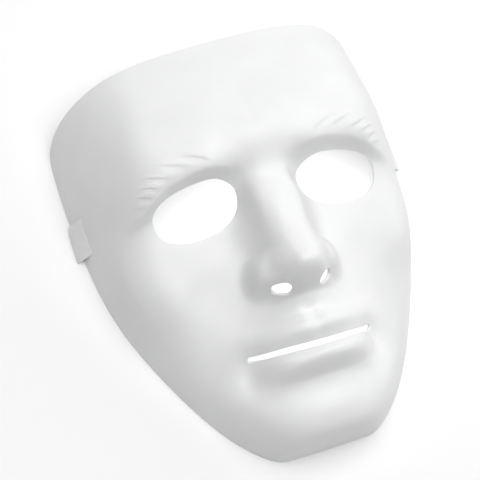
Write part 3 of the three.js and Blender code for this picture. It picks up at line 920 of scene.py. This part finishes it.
@dataclass(frozen=True)
class Grooves:
    """Fine grooves pressed into the outer side: between the tufts of each brow, and along each strap loop.

    A strand's groove is steep on the forehead's side and runs out slowly towards the eye, like an
    overlapping tuft. A raised tuft is narrow on both sides, and so is the groove along a loop.
    """

    strands: tuple[Strand, ...] = (
        Strand(28.2, 49.2, 38, 15, 17.4, 0.9), Strand(39.4, 50.3, 22, 19, 13.0, 0.6),
        Strand(50.3, 48.4, 16, 26, 10.4, 0.8), Strand(56.2, 45.6, 25, 25, 7.4, 0.8),
        Strand(59.6, 42.4, 27, 24, 6.6, 0.8), Strand(62.4, 39.0, 23, 22, 6.2, 0.5),
        Strand(43.0, 53.4, 20, 18, 12.0, -0.3), Strand(52.4, 50.4, 18, 24, 9.6, -0.4),
        Strand(57.4, 47.2, 22, 24, 8.2, -0.5), Strand(60.2, 44.2, 25, 24, 7.4, -0.5),
        Strand(62.4, 40.8, 23, 22, 6.6, -0.4),
    )
    points: int = 24
    depth: float = 0.5
    above: float = 0.9
    below: float = 2.6
    crease_share: float = 0.7
    taper: Span = (0.04, 0.96)
    taper_power: float = 0.7
    fine_band: float = 2.0
    fine_length: float = 0.9

    def lines(self, face: Face) -> list[tuple[Array, Array, float]]:
        """Each groove's line on the outer surface, its strength along it, and its width towards the eye."""
        swelling = np.sin(np.pi * np.linspace(*self.taper, self.points)) ** self.taper_power
        lines = []
        for side in Side:
            for strand in self.strands:
                x, y = strand.plan(self.points)
                line = face.points(*face.over_plan(x * side.value, y))
                width = self.below if strand.share > 0.0 else self.above
                lines.append((line, swelling * strand.share, width))
            crease = StrapLoop(face, side).crease(self.points)
            lines.append((crease, np.full(self.points, self.crease_share), self.above))
        return lines

    def near(self, face: Face, points: Array) -> Array:
        """True for the points that lie within the fine band of a groove."""
        near = np.zeros(len(points), bool)
        for line, _, _ in self.lines(face):
            reach = self.fine_band + self.fine_length
            boxed = ((points > line.min(0) - reach) & (points < line.max(0) + reach)).all(1)
            gap = np.linalg.norm(points[boxed][:, None] - line[None], axis=2).min(1)
            near[np.nonzero(boxed)[0][gap < self.fine_band]] = True
        return near

    def guide(self, face: Face) -> bpy.types.Object:
        """The grooves' lines as an object of edges, with their strength and width at each point."""
        vertices, edges, strengths, widths = [], [], [], []
        for line, strength, width in self.lines(face):
            edges += [(len(vertices) + k, len(vertices) + k + 1) for k in range(len(line) - 1)]
            vertices += [(x * MM, (y + FACE_SHIFT) * MM, z * MM) for x, y, z in line]
            strengths += list(strength)
            widths += [width * MM] * len(line)
        mesh = bpy.data.meshes.new("groove_lines")
        mesh.from_pydata(vertices, edges, [])
        mesh.attributes.new("strength", "FLOAT", "POINT").data.foreach_set("value", strengths)
        mesh.attributes.new("below", "FLOAT", "POINT").data.foreach_set("value", widths)
        return place_object("groove_lines", mesh)

    def tree(self) -> bpy.types.NodeTree:
        """Geometry nodes that press the guide's lines into the outer sheet."""
        tree = bpy.data.node_groups.new("grooves", "GeometryNodeTree")
        for name, kind, way in (
            ("Geometry", "NodeSocketGeometry", "INPUT"), ("Lines", "NodeSocketObject", "INPUT"),
            ("Depth", "NodeSocketFloat", "INPUT"), ("Above", "NodeSocketFloat", "INPUT"),
            ("Material", "NodeSocketMaterial", "INPUT"), ("Geometry", "NodeSocketGeometry", "OUTPUT"),
        ):
            tree.interface.new_socket(name=name, in_out=way, socket_type=kind)
        board = NodeBoard(tree)
        entry = tree.nodes.new("NodeGroupInput")
        given = {socket.name: Expression(board, socket) for socket in entry.outputs if socket.name}
        lines = board.add("GeometryNodeObjectInfo", {"transform_space": "ORIGINAL"},
                          {"Object": given["Lines"]}, "Geometry")
        here = board.add("GeometryNodeInputPosition", {}, {})
        foot, apart = (board.add("GeometryNodeProximity", {"target_element": "EDGES"},
                                 {0: lines, "Sample Position": here}, output)
                       for output in ("Position", "Distance"))
        nearest = board.add("GeometryNodeSampleNearest", {"domain": "POINT"},
                            {"Geometry": lines, "Sample Position": here})
        named = lambda name: board.add("GeometryNodeInputNamedAttribute", {"data_type": "FLOAT"},
                                       {"Name": name})
        strength, below = (board.add("GeometryNodeSampleIndex", {"data_type": "FLOAT", "domain": "POINT"},
                                     {"Geometry": lines, "Value": named(name), "Index": nearest})
                           for name in ("strength", "below"))
        offset = board.add("ShaderNodeVectorMath", {"operation": "SUBTRACT"}, {0: here, 1: foot})
        rise = board.add("ShaderNodeSeparateXYZ", {}, {"Vector": offset}, "Y")
        over = board.add("ShaderNodeMath", {"operation": "GREATER_THAN"}, {0: rise, 1: 0.0})
        share = apart / (below + (given["Above"] - below) * over)
        pressed = given["Depth"] * strength * named("outer") * (math.e ** (share * share * -1.0))
        normal = board.add("GeometryNodeInputNormal", {}, {})
        offset = board.add("ShaderNodeVectorMath", {"operation": "SCALE"},
                           {"Vector": normal, "Scale": pressed * -1.0})
        moved = board.add("GeometryNodeSetPosition", {}, {"Geometry": given["Geometry"], "Offset": offset})
        real = board.add("GeometryNodeRealizeInstances", {}, {"Geometry": moved})
        dressed = board.add("GeometryNodeSetMaterial", {}, {"Geometry": real, "Material": given["Material"]})
        board.add("NodeGroupOutput", {}, {0: dressed})
        return tree

    def press(self, shell: bpy.types.Object, face: Face, material: bpy.types.Material) -> bpy.types.Mesh:
        """Presses the grooves into a shell.

        Args:
            shell: The mask's wall, with the attribute outer on its vertices.
            face: The surface that the grooves follow.
            material: The finish of the result.

        Returns:
            The new plain mesh.
        """
        guide = self.guide(face)
        tree = self.tree()
        modifier = shell.modifiers.new("grooves", "NODES")
        modifier.node_group = tree
        sockets = {item.name: item.identifier for item in tree.interface.items_tree if item.in_out == "INPUT"}
        modifier[sockets["Lines"]] = guide
        modifier[sockets["Depth"]] = self.depth * MM
        modifier[sockets["Above"]] = self.above * MM
        modifier[sockets["Material"]] = material
        evaluated = shell.evaluated_get(bpy.context.evaluated_depsgraph_get())
        mesh = bpy.data.meshes.new_from_object(evaluated)
        shell.modifiers.clear()
        bpy.data.objects.remove(guide)
        return mesh


@dataclass
class Mask:
    """The whole mask: its wall with rounded edges, the fine grooves in it, and its two strap loops."""

    face: Face = field(default_factory=Face)
    finish: WhitePlastic = WhitePlastic()
    grooves: Grooves = Grooves()
    edge_steps: int = 6
    edge_square: float = 0.6
    sharp_angle: float = 52.0
    rim_probe: float = 0.2
    rim_slack: float = 0.1
    least_fall: float = 1e-3

    def wall(self) -> bpy.types.Mesh:
        """The moulded wall: outer sheet, inner sheet, and the rounded edge that joins them."""
        sheet = CutSheet(self.face, self.grooves)
        sheet.build()
        outer = self.face.points(sheet.u, sheet.v)
        normal = self.face.normals(sheet.u, sheet.v)
        inner = outer - normal * WALL
        count = len(outer)
        border = sheet.border()
        edge = np.unique(border)
        middle = (outer[edge] + inner[edge]) / 2.0
        half = (outer[edge] - inner[edge]) / 2.0
        outward = sheet.outward(sheet.u[edge], sheet.v[edge])
        angles = np.pi * np.arange(1, self.edge_steps) / self.edge_steps
        across = np.sign(np.cos(angles)) * np.abs(np.cos(angles)) ** self.edge_square
        bulge = np.sin(angles) ** self.edge_square
        reach = self._edge_reach(sheet, middle, half, outward, across, bulge)
        rings = [middle + half * a + outward * (reach * b)[:, None] for a, b in zip(across, bulge)]
        points = np.concatenate([outer, inner, *rings])
        place = np.full(count, -1)
        place[edge] = np.arange(len(edge))
        steps = [border] + [2 * count + k * len(edge) + place[border] for k in range(len(rings))]
        steps.append(border + count)
        faces = [sheet.triangles, sheet.triangles[:, ::-1] + count]
        for upper, lower in zip(steps, steps[1:]):
            faces.append(np.stack([upper[:, 1], upper[:, 0], lower[:, 0]], 1))
            faces.append(np.stack([upper[:, 1], lower[:, 0], lower[:, 1]], 1))
        log.info("wall: %d vertices on the outer sheet, %d along its edges", count, len(edge))
        points[:, 1] += FACE_SHIFT
        mesh = bpy.data.meshes.new("mask_wall")
        mesh.from_pydata((points * MM).tolist(), [], np.concatenate(faces).tolist())
        is_outer = np.full(len(points), Sheet.INNER.value)
        is_outer[:count] = Sheet.OUTER.value
        mesh.attributes.new("outer", "FLOAT", "POINT").data.foreach_set("value", is_outer)
        mesh.shade_smooth()
        return mesh

    def _edge_reach(self, sheet: CutSheet, middle: Array, half: Array, outward: Array,
                    across: Array, bulge: Array) -> Array:
        """How far the rounded edge stands out at each border vertex: by the set-back, or down to the rim.

        Args:
            sheet: The cut sheet.
            middle: Middle of the wall at each border vertex.
            half: Half the wall, from its middle to its outer side.
            outward: Direction out of the plastic.
            across: The edge's section, from the inner side (-1) to the outer side (1).
            bulge: How far each point of the section stands out, as a share.

        Returns:
            The reach of each border vertex.
        """
        rim = self.face.rim
        base = rim.over(middle)
        lean = rim.over(middle + half) - base
        fall = np.maximum(base - rim.over(middle + outward * self.rim_probe), self.least_fall)
        room = base[:, None] + lean[:, None] * across[None, :]
        room /= bulge[None, :] * fall[:, None] / self.rim_probe
        at_rim = base < sheet.rim_set_back + self.rim_slack
        return np.where(at_rim, room.min(1), sheet.set_back)

    def build(self) -> bpy.types.Object:
        """Builds the mask as one piece and puts it in the frame."""
        material = self.finish.material()
        shell = place_object("mask_wall", self.wall())
        pressed = self.grooves.press(shell, self.face, material)
        bpy.data.objects.remove(shell)
        whole = bmesh.new()
        whole.from_mesh(pressed)
        for side in Side:
            loop = StrapLoop(self.face, side).mesh()
            whole.from_mesh(loop)
            bpy.data.meshes.remove(loop)
        mesh = bpy.data.meshes.new("mask")
        whole.to_mesh(mesh)
        whole.free()
        mesh.materials.clear()
        mesh.materials.append(material)
        mesh.shade_smooth()
        mesh.set_sharp_from_angle(angle=math.radians(self.sharp_angle))
        mask = place_object("mask", mesh)
        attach(mask, "root")
        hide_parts("mask_shell")
        log.info("mask: %d triangles", len(mesh.polygons))
        return mask


@dataclass(frozen=True)
class Softbox:
    """A square soft light that faces the mask: where it stands, its size and its power."""

    name: str
    azimuth: float
    elevation: float
    power: float
    size: float = 1.6
    distance: float = 2.4

    def place(self, centre: Vector) -> bpy.types.Object:
        """Adds the light, aimed at the given centre."""
        light = bpy.data.lights.new(self.name, "AREA")
        light.shape = "SQUARE"
        light.size = self.size
        light.energy = self.power
        lamp = place_object(self.name, light)
        azimuth, elevation = math.radians(self.azimuth), math.radians(self.elevation)
        away = Vector((math.cos(azimuth) * math.cos(elevation), math.sin(azimuth) * math.cos(elevation),
                       math.sin(elevation)))
        lamp.matrix_world = Matrix.Translation(centre + away * self.distance) @ away.to_track_quat(
            "Z", "Y").to_matrix().to_4x4()
        return lamp


@dataclass(frozen=True)
class Studio:
    """The floor, the soft lights and the camera at the photograph's viewing angle."""

    floor: PaleFloor = PaleFloor()
    floor_half: float = 3.0
    white: Colour = (1.0, 1.0, 1.0, 1.0)
    backdrop: float = 0.95
    centre: tuple[float, float, float] = (0.0, 0.0, 0.04)
    softboxes: tuple[Softbox, ...] = (
        Softbox("overhead softbox", 90.0, 89.0, 73.6, 2.6),
        Softbox("right softbox", 0.0, 20.0, 10.8),
        Softbox("upper right softbox", 45.0, 20.0, 8.1),
        Softbox("forehead softbox", 90.0, 20.0, 6.1),
    )
    eye: tuple[float, float, float] = (-301.8, -258.6, 1036.4)
    aim: tuple[float, float, float] = (-17.1, 4.5, 40.0)
    roll: float = 20.39
    lens: float = 155.0
    sensor: float = 36.0
    clip: Span = (0.05, 20.0)

    def lay_floor(self) -> bpy.types.Object:
        """Adds the floor under the mask."""
        half = self.floor_half
        mesh = bpy.data.meshes.new("floor")
        mesh.from_pydata([(-half, -half, 0.0), (half, -half, 0.0), (half, half, 0.0), (-half, half, 0.0)],
                         [], [(0, 1, 2, 3)])
        mesh.materials.append(self.floor.material())
        floor = place_object("floor", mesh)
        return floor

    def light(self) -> None:
        """Adds the softboxes, in a room whose pale backdrop gives no light of its own."""
        world = bpy.data.worlds.new("studio")
        board = NodeBoard.of(world)
        seen = board.add("ShaderNodeLightPath", {}, {}, "Is Camera Ray")
        room = board.add("ShaderNodeBackground", {}, {"Color": self.white, "Strength": seen * self.backdrop})
        board.add("ShaderNodeOutputWorld", {}, {"Surface": room})
        bpy.context.scene.world = world
        for softbox in self.softboxes:
            softbox.place(Vector(self.centre))

    def set_camera(self) -> bpy.types.Object:
        """Adds the camera, aimed and rolled as the photograph's was."""
        data = bpy.data.cameras.new("camera")
        data.lens = self.lens
        data.sensor_width = self.sensor
        data.clip_start, data.clip_end = self.clip
        camera = place_object("camera", data)
        eye, aim = Vector(self.eye) * MM, Vector(self.aim) * MM
        back = (eye - aim).normalized()
        right = Vector((0.0, 1.0, 0.0)).cross(back).normalized()
        up = back.cross(right)
        turn = Matrix((right, up, back)).transposed().to_4x4()
        roll = Matrix.Rotation(math.radians(-self.roll), 4, "Z")
        camera.matrix_world = Matrix.Translation(eye) @ turn @ roll
        bpy.context.scene.camera = camera
        return camera

    def build(self) -> None:
        """Sets up the whole studio."""
        self.set_camera()
        self.lay_floor()
        self.light()
        view = bpy.context.scene.view_settings
        view.view_transform = "Standard"
        view.look = "None"
        log.info("studio: floor, %d softboxes and the camera", len(self.softboxes))


def main() -> None:
    """Builds the studio and the mask."""
    logging.basicConfig(level=logging.INFO, format="%(name)s: %(message)s")
    Studio().build()
    Mask().build()


if __name__ == "__main__":
    main()
